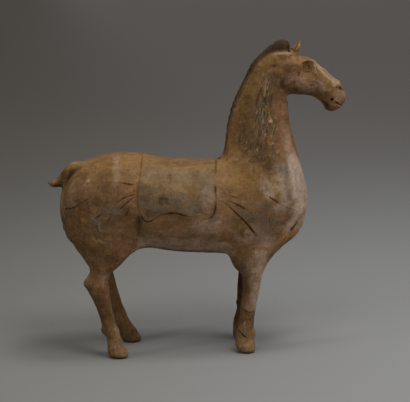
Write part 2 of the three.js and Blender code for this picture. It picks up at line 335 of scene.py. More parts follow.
# Below the cloth's rear corner, a line darkened as painted shadow
CLOTH_TAIL = [(-109, -78, 262), (-109, -75, 241), (-109, -65, 218)]
CROUP_BAND = [(-138, -36, 351), (-140, -55, 338), (-140, -67, 323)]
CROUP_CROSS = [(-138, -60, 332), (-125, -59, 332), (-111, -57, 333)]
COLLAR = [(43, -37, 336), (56, -41, 339), (67, -48, 341)]
LIPS = [
    (239, -18, 440.5, 0.7),
    (243, -19, 438, 1.4),
    (248, -18, 434.5, 1.2),
    (254, -12, 433, 0.9),
    (260, -6, 433, 0.7),
    (262, 0, 432, 0.5),
]
CHEEK_MARKS = [
    [(171, -33, 496, 0.8), (172, -33, 490, 1.6), (171, -33, 484, 1.2)],
    [(190, -33, 472, 1), (194, -32, 470, 1.3), (200, -31, 470, 1)],
    [(196, -32, 489, 0.6), (203, -30, 486, 0.9), (206, -29, 481, 0.9), (200, -31, 478, 0.6)],
    [(199, -31, 476, 0.5), (205, -29, 474, 0.9), (208, -28, 469, 0.6)],
    [(206, -22, 504, 0.6), (206, -26, 500, 1.3), (207, -27, 494, 0.9)],
]
THIGH_SCRATCHES = [
    [(-185, -74, 251, 1.2), (-176, -76, 256, 1), (-167, -77, 264, 0.6)],
    [(-181, -74, 246, 0.8), (-179, -74, 232, 0.8), (-173, -74, 225, 0.5), (-171, -75, 239, 0.4)],
    [(-156, -77, 256, 1), (-160, -76, 249, 1.2), (-165, -76, 243, 0.6)],
    [(-179, -76, 210, 0.6), (-170, -75, 204, 0.9), (-163, -75, 213, 0.6), (-156, -75, 206, 0.8)],
    [(-137, -77, 251, 0.5), (-133, -75, 243, 0.6), (-129, -77, 249, 0.6), (-131, -77, 255, 0.4)],
]
THIGH_CURLS = [
    [(-188, -73, 225), (-186, -74, 218), (-182, -75, 213)],
    [(-177, -75, 215), (-168, -75, 209), (-160, -75, 213), (-155, -75, 202)],
    [(-176, -75, 243), (-175, -75, 233), (-170, -75, 230)],
    [(-172, -76, 256), (-164, -77, 252), (-161, -77, 258)],
]
NECK_LINES = [
    [(104, -27, 459), (100, -29, 446), (97, -32, 432)],
    [(114, -33, 453), (111, -35, 441), (109, -37, 429)],
    [(122, -30, 478), (119, -32, 466), (115, -32, 455)],
    [(125, -35, 460), (124, -36, 446), (121, -39, 428)],
    [(104, -39, 418), (102, -44, 395), (100, -51, 374), (100, -56, 360)],
    [(106, -52, 378), (103, -57, 356)],
    [(116, -44, 405), (114, -49, 385), (112, -56, 362)],
]
PALE_LINES = [
    [(118, -28, 480), (114, -30, 466), (112, -32, 453)],
    [(124, -29, 482), (120, -31, 473), (118, -32, 463)],
    [(110, -37, 432), (108, -40, 419), (111, -43, 407)],
    [(118, -37, 441), (120, -41, 426), (122, -44, 410)],
    [(129, -45, 405), (126, -47, 395), (123, -50, 383)],
    [(113, -49, 389), (116, -53, 377), (122, -54, 370)],
    [(107, -48, 392), (106, -53, 375)],
]
BREAST_TICKS = [
    [(112, -71, 247), (111, -70, 237)],
    [(116, -71, 248), (117, -69, 237)],
    [(121, -71, 247), (123, -68, 239)],
]
FETLOCK_CRACKS = [
    [(67, -46, 83, 1), (75, -56, 80, 1), (83, -59, 75.5, 1.2), (90, -58, 76, 1), (98, -50, 77, 1)],
    [(65, -48, 45, 1), (71, -57, 38, 1.2), (77, -60, 32, 1.1), (84, -60, 29, 0.6)],
]

# Soft creases where one form meets another, each darkened with painted shade

JAW = [(155, -30, 503), (149, -31, 494), (148, -31, 482), (142, -32, 470), (152, -28, 462)]
MANE_FOOT = [
    (42, -6, 351),
    (49, -6, 377),
    (57, -6, 409),
    (67, -6, 438),
    (79, -6, 466),
    (94, -6, 494),
    (108, -7, 513),
    (123, -7, 524),
    (134, -8, 528),
    (148, -8, 529),
    (161, -8, 530),
]
THROAT = [(164, -24, 452), (162, -14, 447), (161, 0, 444), (162, 14, 447), (164, 24, 452)]
TAIL_ROOT = [
    (-207, -16, 331, 0.6),
    (-216, -15, 323, 1.0),
    (-223, -13, 314, 1.1),
    (-228, -13, 306, 1.2),
    (-232, -16, 298, 1.3),
]
UNDER_BROW = [(180, -30, 507), (185, -31, 510.5), (192, -30, 511), (197, -29, 508)]

# Ridges of the head: path, height and breadth in mm

RIDGES = [
    ([(176, -30, 509), (184, -30, 514), (192, -28, 516), (199, -27, 513), (203, -27, 508)], 2.2, 7),
    ([(180, -31, 498), (187, -32, 495), (195, -32, 496.5)], 0.8, 4),
    ([(201, -28, 508), (203, -29, 499), (203, -31, 489), (200, -32, 480)], 1.4, 5.5),
    ([(206, -25, 499), (216, -21, 489), (227, -18, 480), (239, -16, 471)], 1.5, 7),
]


def path_through(places, gap=0.7 * MM):
    """Points along a smooth curve through the places, about a gap apart."""
    stops = [Vector(place) * MM for place in places]
    ends = [2 * stops[0] - stops[1]] + stops + [2 * stops[-1] - stops[-2]]
    path = []
    for p0, p1, p2, p3 in zip(ends, ends[1:], ends[2:], ends[3:]):
        count = max(1, round((p2 - p1).length / gap))
        for i in range(count):
            t = i / count
            pull = (2 * p0 - 5 * p1 + 4 * p2 - p3) * t * t
            bend = (3 * p1 - p0 - 3 * p2 + p3) * t * t * t
            path.append(0.5 * (2 * p1 + (p2 - p0) * t + pull + bend))
    return path + [stops[-1]]


# How uneven a line is: how far one on the left strays, in mm, and how much the stick's pressure changes
LEFT_STRAY = 1.5
PRESSURE_CHANGE = 0.45


def stray(place):
    """How far a line on the left flank strays there, in mm, along X, Y and Z, the same in each run."""
    shifts = ((0, 0, 0), (31.4, 7.7, 2.9), (5.1, 19.6, 11.3))
    return [LEFT_STRAY * noise.noise(place * 0.021 + Vector(shift)) for shift in shifts]


class DrawnLines:
    """Lines drawn in the clay, as close points on the skin with a depth, a breadth and a darkness."""

    def __init__(self, skin):
        faces = [face.vertices for face in skin.data.polygons]
        self.tree = BVHTree.FromPolygons([vertex.co for vertex in skin.data.vertices], faces)
        self.points = []
        self.shapes = []

    def draw(self, places, depth, breadth, dark=1.0, fade=0.25, sides=BOTH):
        """Draws a line, in mm, on the right flank and, less evenly, on the left."""
        for side in sides:
            # The strength goes along as a fourth coordinate
            here = [Vector((x, side * y, z, *(strength or (1,)))) for x, y, z, *strength in places]
            if side == LEFT:
                here = [place + Vector((*stray(place.xyz), 0)) for place in here]
            path = path_through(here)
            for i, point in enumerate(path):
                along = i / (len(path) - 1)
                strength = point.w / MM
                if fade:
                    strength *= min(1, min(along, 1 - along) / fade + 0.15)
                place = point.xyz
                strength *= 1 + PRESSURE_CHANGE * noise.noise(place * 110)
                full = breadth * MM * (0.75 + 0.25 * strength)
                self.points.append(self.tree.find_nearest(place)[0])
                self.shapes.append((depth * MM * strength, full, dark * strength))

    def near(self, places):
        """For each place, the distance to the nearest line with its depth, breadth and darkness."""
        tree = KDTree(len(self.points))
        for i, point in enumerate(self.points):
            tree.insert(point, i)
        tree.balance()
        found = [tree.find(place) for place in places]
        nearest = [index for _, index, _ in found]
        away = np.array([distance for _, _, distance in found])
        return away, *np.array(self.shapes)[nearest].T


def drawn_lines(skin):
    lines = DrawnLines(skin)
    # The cloth's rim and the line below its rear corner are darkened both as earth in the groove and as
    # painted shadow under the raised cloth
    lines.draw(CLOTH_RIM, 1.5, 3.2, 0.85, fade=0)
    lines.draw(SEAT_EDGE, 0.8, 2.6, 0.6)
    lines.draw(CLOTH_TAIL, 0.5, 3.4, 0.75)
    lines.draw(CROUP_BAND, 0.35, 2.2, 0.35)
    lines.draw(CROUP_CROSS, 0.35, 1.8, 0.5)
    lines.draw(COLLAR, 0.35, 1.8, 0.35)
    for strap in FRONT_STRAPS + HIND_STRAPS + BREAST_FOLDS + [BREAST_STRAP, CRUPPER]:
        lines.draw(strap, 1.2, 2.9)
    for mark in CHEEK_MARKS:
        lines.draw(mark, 0.9, 2.6, 0.7)
    for scratch in THIGH_SCRATCHES:
        lines.draw(scratch, 0.6, 2.2, 0.9, sides=(RIGHT,))
    for line in NECK_LINES:
        lines.draw(line, 0.5, 2.4, 0.95)
    for tick in BREAST_TICKS:
        lines.draw(tick, 0.3, 2.0, 0.6)
    for line in THIGH_CURLS + PALE_LINES:
        lines.draw(line, 0.4, 1.6, 0, sides=(RIGHT,))
    for crack in FETLOCK_CRACKS:
        lines.draw(crack, 1.1, 1.9, 0.85, fade=0.1, sides=(RIGHT,))
    lines.draw(LIPS, 1.3, 2.2, 0.75, fade=0)
    return lines


def soft_creases(skin):
    creases = DrawnLines(skin)
    # The darkness given to these creases is painted shade where the forms meet
    creases.draw(JAW, 1.8, 9, 0.45)
    creases.draw(MANE_FOOT, 1.1, 4, 0.8, fade=0)
    creases.draw(TAIL_ROOT, 2.0, 6, 1)
    creases.draw(THROAT, 1.6, 8, 0.3, fade=0, sides=(RIGHT,))
    creases.draw(UNDER_BROW, 0.9, 4, 0.3)
    for ridge, height, breadth in RIDGES:
        creases.draw(ridge, -height, breadth, 0, sides=(RIGHT,))
        creases.draw(ridge, -0.5 * height, breadth, 0, sides=(LEFT,))
    return creases


# Small holes: place, half length, half height and depth in mm, and RIGHT where the left has none

HOLES = [
    ((234, -18, 444), 2.6, 2.6, 5.5),
    ((250.5, -14, 463), 4.4, 3.2, 5.6),
    ((254, -14, 461.5), 2.8, 2.0, 3.5),
    ((243, -17.5, 465), 1.8, 1.8, 2.2),
    ((131, -24, 504), 2.6, 2.2, 1.8, RIGHT),
    ((105, -62, 346), 1.9, 1.9, 2.2, RIGHT),
]

# Low swellings and hollows of the head, mane, rump and legs: place, half lengths along X, Y and Z and
# height in mm, and the side where it is on one side alone

SWELLINGS = [
    ((188.5, -31, 503), (10.5, 9, 9), -3.9),
    ((191, -30, 502.5), (6.5, 9, 5), 3.0),
    ((132, 0, 543), (4, 12, 6), -1.4),
    ((160, 0, 447), (9, 44, 9), -1.8),
    ((180, -33, 478), (21, 9, 18), 1.6),
    ((160, -32, 492), (9, 9, 9), 1.2),
    ((163, -31, 502), (13, 9, 4), -1.2),
    ((208, -30, 484), (8, 9, 12), -1.0),
    ((225, -18, 464), (14, 9, 8), -1.8),
    ((248, -15, 469.5), (9, 9, 4), 1.2),
    ((248, 0, 473), (11, 24, 8), 2.2, RIGHT),
    ((222, 0, 494), (20, 24, 8), 1.2, RIGHT),
    ((225, 0, 426), (10, 24, 9), 1.8, RIGHT),
    ((180, 0, 450), (26, 30, 8), 1.2, RIGHT),
    ((247, -16, 457), (8, 9, 3), 1.0),
    ((254, -15, 449), (10, 9, 8), 0.9),
    ((243, -14, 433), (10, 9, 4.5), 1.4),
    ((229, -12, 438), (6, 9, 9), -1.2),
    ((238, -18, 459), (4, 9, 9), -0.8),
    ((-231, -32, 217), (20, 54, 19), 7.8),
    ((60, -44, 160), (24, 34, 34), 7.5, RIGHT),
    ((61, -44, 154), (16, 26, 22), 3.0, LEFT),
    ((-106, -45, 182), (12, 40, 9), -2.4),
    ((57, 0, 425), (26, 13, 70), 1.7),
    ((98, 0, 505), (28, 13, 30), 1.3),
    ((-197, -58, 147), (6, 14, 7), 2.2),
    ((-201, -59, 136), (8, 15, 14), 4.2),
    ((-194, -60, 157), (6, 14, 6), 2.4),
    ((-173, -55, 50), (8, 15, 12), 3.4, RIGHT),
    ((-167, -55, 36), (7, 15, 5), -1.6, RIGHT),
    ((-140, -43, 38), (10, 15, 22), 5.0, LEFT),
    ((-99, -41, 12), (10, 16, 11), 2.8, LEFT),
    ((-109, -42, 24), (15, 15, 11), 2.2, LEFT),
    ((79, -44, 105), (8, 14, 32), 1.6, LEFT),
    ((76, -44, 68), (7, 14, 8), 3.0, LEFT),
    ((75, -44, 56), (6, 14, 5), -1.2, LEFT),
    ((76, -44, 8), (8, 14, 13), 2.2, LEFT),
    ((83, -58, 66), (14, 12, 7), 1.3, RIGHT),
    ((94, -52, 36), (7, 12, 13), 3.2, RIGHT),
    ((80, -58, 46), (9, 12, 6), 1.1, RIGHT),
]


def press_holes(points, normals):
    for (x, y, z), length, height, depth, *side_alone in HOLES:
        for side in side_alone or BOTH:
            apart = (points - np.array((x, side * y, z)) * MM) / (np.array((length, length, height)) * MM)
            away = np.linalg.norm(apart, axis=1)
            points -= normals * (depth * MM * (1 - smoothstep(0.55, 1.25, away)))[:, None]


def swell(points, normals):
    for (x, y, z), halves, height, *side_alone in SWELLINGS:
        for side in side_alone or BOTH:
            apart = (points - np.array((x, side * y, z)) * MM) / (np.array(halves) * MM)
            away = np.linalg.norm(apart, axis=1)
            points += normals * (height * MM * (1 - smoothstep(0, 1, away)))[:, None]


# The shape of the ears' blades. Behind EAR_MIDDLE they are broadened, less so towards the tips.

EAR_FOOT = -3 * MM  # how high over the root the shaping begins
LEFT_EAR_FORWARD = 5 * MM
LEFT_EAR_DOWN = 1.5 * MM
EAR_MIDDLE = 176 * MM
EAR_BROADER = 0.4
EAR_TALLER = 0.08


def shape_ears(points):
    """Tips the left ear forward, behind the right one, and makes both blades broader and taller."""
    above = points[:, 2] - EAR_ROOT
    blade = on_ears(points) & (above > EAR_FOOT)
    left = blade & (points[:, 1] > 0)
    up = smoothstep(EAR_FOOT, 13 * MM, above)
    points[:, 0] += LEFT_EAR_FORWARD * up * left
    points[:, 2] -= LEFT_EAR_DOWN * up * left
    broad = up * (1 - 0.4 * smoothstep(10 * MM, 20 * MM, above))
    points[:, 0] -= EAR_BROADER * broad * np.clip(EAR_MIDDLE - points[:, 0], 0, None) * blade
    points[:, 2] += EAR_TALLER * np.clip(above, 0, None) * blade


def hand_finish(points):
    """The slight unevenness of clay that was pressed, pared and smoothed by hand."""
    broad = np.array([noise.noise(Vector(place) * 24) for place in points])
    small = np.array([noise.noise(Vector(place) * 80 + Vector((3, 7, 1))) for place in points])
    return 0.9 * MM * broad + 0.36 * MM * small


BURR = 0.22  # the clay that the stick raises beside a line, as a share of its depth


def carve(skin, lines, creases):
    """Works the skin: hand finish, head, lines and holes. Returns how dark each point of it is."""
    points, normals = points_of(skin), normals_of(skin)
    points += normals * hand_finish(points)[:, None]
    swell(points, normals)
    shape_ears(points)
    dark = np.zeros(len(points))
    for drawn in (creases, lines):
        away, depth, breadth, darkness = drawn.near(points)
        half = breadth / 2
        groove = depth * np.exp(-((away / half) ** 2) * 1.4)
        burr = BURR * depth * np.exp(-(((away - 1.7 * half) / (0.7 * half)) ** 2))
        points += normals * (burr - groove)[:, None]
        soft = 0.55 * np.exp(-((away / half) ** 2)) + 0.45 * np.exp(-((away / (2.2 * half)) ** 2))
        dark = np.maximum(dark, darkness * soft)
    press_holes(points, normals)
    points[:, 2] = np.maximum(points[:, 2], 0)
    place_points(skin, points)
    return dark


# What is fine in the head: places and reaches in mm
EYE = ((191, -30, 504), 15)
NOSTRIL = ((250, -14, 462), 10)
MOUTH_CORNER = ((234, -18, 444), 6)


def in_head(middles):
    return (middles[:, 0] > HEAD_REAR) & (middles[:, 2] > HEAD_UNDERSIDE) & (middles[:, 2] < EAR_ROOT)


def by_features(middles):
    """Near an eye, a nostril or a corner of the mouth, on either side."""
    near = np.zeros(len(middles), bool)
    for (x, y, z), reach in (EYE, NOSTRIL, MOUTH_CORNER):
        for side in BOTH:
            near |= np.linalg.norm(middles / MM - np.array((x, side * y, z)), axis=1) < reach
    return near


# Stains, washes and wear, some of them painted light and shade. Each mark has its path in mm on the right
# flank, its reach in mm and its strength, and RIGHT where the left side doesn't have it.

OCHRE = [
    ([(58, -22, 372), (70, -24, 410), (86, -18, 448), (94, -15, 470), (104, -12, 493)], 13, 0.8),
    ([(112, -10, 507), (126, -14, 512), (150, -20, 518)], 12, 0.6),
    ([(46, -30, 345), (70, -45, 340), (60, -60, 322), (90, -62, 310)], 30, 0.65),
    ([(-205, -20, 335), (-190, -30, 338), (-165, -40, 340), (-140, -40, 346), (-115, -40, 346)], 32, 0.7),
    ([(-90, -30, 345), (-50, -40, 337), (0, -45, 330)], 24, 0.5),
    ([(206, -22, 503), (216, -20, 492), (231, -17, 478), (240, -14, 470)], 9, 1),
    ([(150, -50, 208), (168, -43, 216)], 14, 0.9),
    ([(125, -68, 308), (131, -67, 296)], 13, 0.9, RIGHT),
    ([(-50, -76, 300), (-10, -74, 300)], 18, 0.5),
    ([(165, -20, 524), (174, -15, 534)], 11, 0.8),
    ([(88, -20, 452), (100, -17, 479), (111, -16, 496), (128, -16, 513)], 15, 1),
]
AMBER = [
    ([(167, -27, 511), (176, -28, 510), (183, -28, 512)], 5, 0.65),
    ([(148, -50, 213), (158, -44, 211), (168, -34, 210)], 10, 0.75),
    ([(172, -44, 232), (160, -50, 224)], 8, 0.4),
    ([(184, -34, 250), (188, -26, 246)], 7, 0.7),
    ([(-159, -19, 351), (-130, -24, 353), (-101, -27, 350)], 4, 0.7),
    ([(-109, -68, 312), (-103, -52, 333), (-99, -26, 348)], 4, 0.7),
    ([(-113, -72, 303), (-120, -76, 298)], 9, 0.5, RIGHT),
    ([(-206, -68, 262), (-204, -69, 250)], 6, 0.6, RIGHT),
    ([(50, -30, 345), (52, -34, 343)], 5, 0.6, RIGHT),
]
BLUSH = [
    ([(143, -37, 429), (146, -44, 395), (156, -47, 360), (167, -50, 325)], 24, 0.9),
    ([(165, -33, 484), (185, -33, 484), (205, -29, 478)], 17, 0.6),
    ([(199, -31, 486), (205, -29, 474)], 10, 1),
    ([(240, -15, 430), (258, -12, 440)], 14, 0.8),
    ([(-60, -65, 225), (0, -68, 222), (38, -75, 245)], 32, 0.7),
    ([(-118, -79, 295), (-150, -79, 280)], 20, 0.7),
    ([(186, -38, 251), (190, -20, 262)], 15, 0.9),
    ([(145, -58, 227)], 12, 1, RIGHT),
    ([(38, -75, 255), (47, -75, 238)], 17, 1, RIGHT),
    ([(-194, -72, 266), (-197, -70, 283)], 16, 0.7, RIGHT),
    ([(-150, -70, 165), (-168, -66, 130), (-160, -62, 90)], 18, 0.6),
    ([(-120, 40, 60), (-110, 30, 30)], 24, 0.7, RIGHT),
]
OLIVE_AND_SHADE = [
    ([(86, -24, 437), (83, -33, 403), (80, -45, 370)], 17, 0.7),
    ([(84, -18, 452), (96, -14, 478), (110, -14, 497), (126, -14, 512)], 15, 0.65),
    ([(76, -33, 389), (75, -38, 378), (74, -44, 366)], 11, 0.9, RIGHT),
    ([(61, -73, 237), (72, -70, 222)], 14, 0.9),
    ([(-215, -62, 240), (-200, -66, 215)], 20, 0.5),
    ([(-238, -28, 250), (-233, -34, 226), (-222, -50, 206)], 12, 0.7),
    ([(-110, -72, 240), (-100, -68, 222)], 14, 0.6, RIGHT),
    ([(-193, -64, 125), (-181, -60, 96), (-172, -57, 56)], 12, 0.6),
    ([(75, -60, 190), (85, -62, 130)], 18, 0.4),
    # This and the next: painted shade under the jaw and under the brow
    ([(158, -24, 461), (168, -27, 460)], 6, 0.9),
    ([(184, -30, 509), (194, -29, 508)], 6, 0.9),
]
UMBER_AND_SHADE = [
    ([(87, -42, 384), (94, -51, 368), (103, -57, 358)], 17, 0.95),
    ([(98, -58, 352), (110, -62, 344), (119, -65, 332)], 14, 0.8),
    ([(113, -49, 395), (112, -54, 370)], 16, 0.65),
    ([(124, -31, 470), (122, -34, 444), (118, -40, 415)], 15, 0.55),
    ([(118, -20, 500), (135, -22, 508), (150, -24, 512)], 16, 0.6),
    ([(60, -24, 373), (66, -22, 398), (75, -18, 425)], 11, 0.6),
    ([(152, -32, 497), (161, -31, 499), (173, -31, 499)], 9, 0.9),
    ([(131, -24, 504), (142, -27, 503), (152, -29, 502)], 5, 0.6),
    # This and the next: painted shade in the eye socket
    ([(181, -31, 504), (184, -31, 499), (190, -31, 497), (197, -30, 500)], 7, 0.9),
    ([(182, -30, 508), (190, -30, 508), (196, -29, 506)], 5, 0.6),
    ([(79, -57, 98), (78, -58, 125)], 12, 0.5),
    ([(135, -28, 488), (128, -30, 470)], 12, 0.45),
    # Painted shade under the jaw, at the throat
    ([(157, -24, 462), (168, -27, 461)], 5, 0.9),
    # Painted shade along the jaw's rear edge
    ([(150, -31, 496), (147, -32, 482), (146, -31, 470), (152, -28, 461)], 9, 0.5),
    ([(197, -30, 492), (203, -29, 478)], 10, 0.5),
    # Painted shade along the jaw's lower edge
    ([(158, -31, 490), (152, -31, 476), (160, -32, 466), (172, -34, 462)], 9, 0.4),
    # Painted shade at the tail's root
    ([(-226, -15, 328), (-234, -13, 316), (-240, -12, 304)], 8, 0.75),
    ([(213, -25, 463), (222, -21, 455), (228, -20, 447)], 10, 0.7),
    ([(134, -26, 497), (140, -28, 487)], 11, 0.7),
    ([(172, -21, 520), (172, -26, 513)], 7, 0.5),
    # Painted shade in the lower eye socket
    ([(183, -32, 498), (194, -31, 494)], 8, 0.55),
    ([(84, -24, 446), (78, -30, 420), (74, -36, 396)], 17, 0.7),
    ([(70, -22, 425), (82, -16, 452)], 9, 0.4),
    ([(68, -36, 384), (84, -46, 364)], 15, 0.7),
    ([(132, -17, 516), (142, -17, 518), (156, -19, 517)], 12, 0.95),
    ([(130, -30, 486), (138, -30, 474), (150, -32, 466)], 20, 1),
    ([(120, -36, 440), (112, -46, 390)], 34, 0.6),
    ([(92, -14, 494), (106, -18, 498), (116, -20, 496)], 14, 0.5),
    ([(66, -24, 420), (72, -30, 385)], 14, 0.5),
    ([(150, -36, 430), (153, -42, 395)], 18, 0.25),
    ([(-208, -62, 262), (-190, -71, 232)], 28, 0.5),
    ([(0, -74, 292), (8, -75, 270)], 24, 0.35),
    ([(-75, -78, 275), (-50, -77, 270)], 20, 0.25),
    ([(84, -58, 102), (88, -58, 84)], 11, 0.5),
    ([(164, -18, 531), (168, -17, 537)], 5, 0.7),
    # Painted shadow under the chin
    ([(222, -12, 440), (228, -11, 432)], 8, 0.9),
    ([(-165, -65, 318), (-167, -71, 307), (-170, -74, 297), (-176, -76, 279)], 20, 0.6),
    ([(-137, -78, 268), (-128, -78, 256)], 12, 0.4),
    ([(-211, -64, 269), (-205, -68, 249)], 16, 0.5),
    ([(-210, -65, 262), (-209, -66, 245)], 5, 0.7, RIGHT),
    ([(-198, -70, 282), (-194, -72, 272)], 5, 0.7, RIGHT),
    ([(-162, -78, 280)], 8, 0.4, RIGHT),
    ([(-180, -74, 194), (-167, -73, 186), (-152, -74, 186)], 18, 0.6),
    ([(-205, -71, 215), (-202, -71, 204)], 10, 0.6),
    ([(-172, -75, 232), (-160, -76, 240)], 24, 0.5),
    ([(-235, -24, 255), (-231, -36, 232), (-218, -52, 208)], 10, 0.6),
    # This and the next: painted shade at the tail's root and under the tail
    ([(-234, -9, 318), (-223, -11, 321), (-211, -16, 324)], 10, 1),
    ([(-240, -8, 300), (-252, -4, 295)], 6, 0.5),
    ([(-176, -66, 117), (-166, -64, 89), (-159, -64, 68)], 12, 0.6),
    # Painted shade on the far hind hoof's inner side
    ([(-126, 35, 25), (-108, 36, 13)], 20, 0.6, RIGHT),
    ([(76, -56, 62), (87, -57, 53)], 13, 0.6),
    ([(-96, -74, 300), (-97, -78, 275)], 12, 0.4),
    ([(-59, -29, 341), (-7, -25, 338)], 14, 0.35),
    # Painted shadow below the saddle cloth's rear corner
    ([(-108, -78, 250), (-109, -68, 226)], 7, 0.6),
    # Painted shade on the far front leg's inner side
    ([(72, 35, 160), (79, 36, 110), (74, 38, 70), (72, 38, 45)], 17, 0.8, RIGHT),
    # Painted shade at the elbow
    ([(76, -66, 168), (88, -67, 165)], 14, 0.5),
]
CHALK_AND_LIGHT = [
    ([(138, -64, 328), (143, -66, 305)], 20, 0.65),
    ([(163, -50, 335), (170, -50, 300), (176, -46, 262)], 29, 1),
    ([(176, -30, 320), (186, -22, 285), (187, -20, 255), (181, -22, 232)], 30, 1),
    ([(168, -50, 252), (166, -50, 238), (154, -52, 222)], 18, 0.7),
    ([(110, -68, 305), (118, -69, 288)], 15, 0.6, RIGHT),
    # Painted light on the foreleg's lit side
    ([(86, -62, 162), (94, -62, 140)], 20, 0.6),
    ([(160, -33, 476), (178, -34, 470), (196, -32, 464)], 17, 0.3),
    ([(205, -28, 474), (217, -23, 466)], 11, 0.45),
    ([(128, -68, 262), (142, -66, 275)], 10, 0.4),
    ([(146, -65, 296), (149, -64, 272)], 18, 0.65),
    ([(186, -24, 240), (182, -24, 222), (172, -34, 214)], 12, 0.6),
    ([(154, -42, 385), (160, -46, 350)], 15, 0.4),
    # These two: painted bounce light along the bottom of the belly
    ([(-92, -50, 206), (-45, -46, 199), (-2, -46, 195), (38, -48, 193)], 24, 0.8),
    ([(-50, -66, 222), (10, -68, 220)], 18, 0.15),
    ([(-4, -73, 237), (22, -74, 236)], 24, 0.45),
    ([(75, -69, 217), (97, -69, 221), (112, -66, 200)], 20, 0.4),
    # Painted light down the foreleg's lit front
    ([(106, -62, 182), (104, -60, 145), (98, -60, 115), (92, -58, 88)], 16, 0.7),
    ([(8, -75, 268), (12, -72, 292)], 15, 0.4),
    ([(245, -20, 452), (256, -14, 452)], 10, 0.2),
    ([(206, -20, 505), (216, -18, 493), (231, -15, 479), (240, -14, 471)], 7, 0.4),
    ([(203, -14, 514), (222, -6, 497), (245, -4, 476)], 7, 0.5),
    ([(-142, -30, 350), (-144, -55, 335), (-145, -69, 316)], 7, 0.25, RIGHT),
    ([(-170, -68, 150), (-168, -66, 135)], 9, 0.35),
    ([(-238, -20, 290), (-240, -25, 262), (-236, -30, 240)], 12, 0.35),
    ([(-224, -50, 300), (-220, -56, 275)], 14, 0.25),
]
DRAB = [
    ([(-88, -61, 323), (-36, -58, 316), (7, -56, 315)], 26, 0.75),
    ([(-89, -76, 291), (-40, -76, 290), (5, -74, 285)], 24, 0.6),
]
GREY = [
    ([(-89, -79, 264), (-72, -77, 273), (-52, -76, 276), (-31, -76, 272), (-12, -76, 263)], 18, 0.9),
    ([(-102, -76, 300), (-101, -79, 278), (-94, -79, 262)], 13, 0.7, RIGHT),
    ([(-177, -75, 248), (-167, -76, 256), (-155, -78, 262), (-145, -78, 265)], 15, 1),
    ([(-176, -76, 236), (-166, -76, 240)], 9, 0.9, RIGHT),
    ([(80, -74, 254), (101, -72, 257), (118, -71, 249), (123, -67, 231), (105, -69, 221)], 22, 0.85),
    ([(71, -74, 260), (83, -73, 250), (90, -72, 238)], 10, 0.9, RIGHT),
    ([(136, -61, 342), (138, -64, 328)], 11, 1, RIGHT),
    ([(153, -63, 281), (154, -63, 268), (152, -64, 259)], 9, 1, RIGHT),
    ([(146, -55, 356), (147, -58, 339), (148, -61, 320), (150, -65, 290)], 6, 0.9),
    ([(103, -33, 440), (104, -37, 426), (104, -40, 414)], 9, 0.9, RIGHT),
    ([(-10, -50, 325), (15, -60, 310), (15, -66, 295)], 14, 0.6),
]
STREAKS = [
    ([(119, -27, 482), (113, -32, 453), (108, -37, 427), (106, -46, 397), (103, -56, 362)], 19, 1),
    ([(128, -44, 405), (124, -52, 375), (128, -58, 355)], 15, 0.7),
    ([(75, -32, 391), (80, -42, 376), (84, -50, 358)], 13, 0.7),
]
SOOT_AND_SHADE = [
    ([(-73, -76, 282), (-67, -75, 285), (-61, -75, 282), (-61, -76, 276)], 3.2, 0.8, RIGHT),
    ([(-71, -77, 277)], 5.5, 0.7, RIGHT),
    ([(-92, -79, 260)], 9, 0.5, RIGHT),
    ([(-3, -76, 263)], 5, 0.4, RIGHT),
    ([(131, -24, 504)], 4, 1, RIGHT),
    ([(105, -62, 346)], 3, 1, RIGHT),
    ([(13, -67, 214), (25, -68, 214)], 2.4, 0.6, RIGHT),
    ([(82, -69, 216)], 2.5, 1, RIGHT),
    # Painted shade at the elbow
    ([(60, -58, 170), (70, -62, 160)], 9, 0.4, RIGHT),
    ([(75, -55, 78), (92, -58, 74)], 5, 0.25, RIGHT),
    ([(68, -50, 42), (78, -58, 34)], 5, 0.3, RIGHT),
    # These three: painted shade inside the nostrils and the mouth's corner
    ([(249, -15, 463), (254, -14, 461.5)], 5.2, 1),
    ([(243, -17.5, 465)], 2.6, 0.9),
    ([(234, -18, 444)], 4.2, 1),
    ([(190.5, -30.5, 504)], 3, 1),
    # Painted shade in the eye socket's rear corner
    ([(182, -31, 506), (183, -31, 500)], 3, 0.5),
    # This and the next: painted shade in the mouth's slit and under the chin
    ([(242, -19, 438)], 2.8, 0.6),
    ([(226, -12, 434)], 5, 0.5),
    ([(-263, 0, 296)], 6, 1, RIGHT),
    ([(118, 0, 536), (140, 0, 541)], 13, 0.3, RIGHT),
    ([(167, -18, 534), (171, -17, 539), (174, -15, 544)], 2.8, 0.7),
]
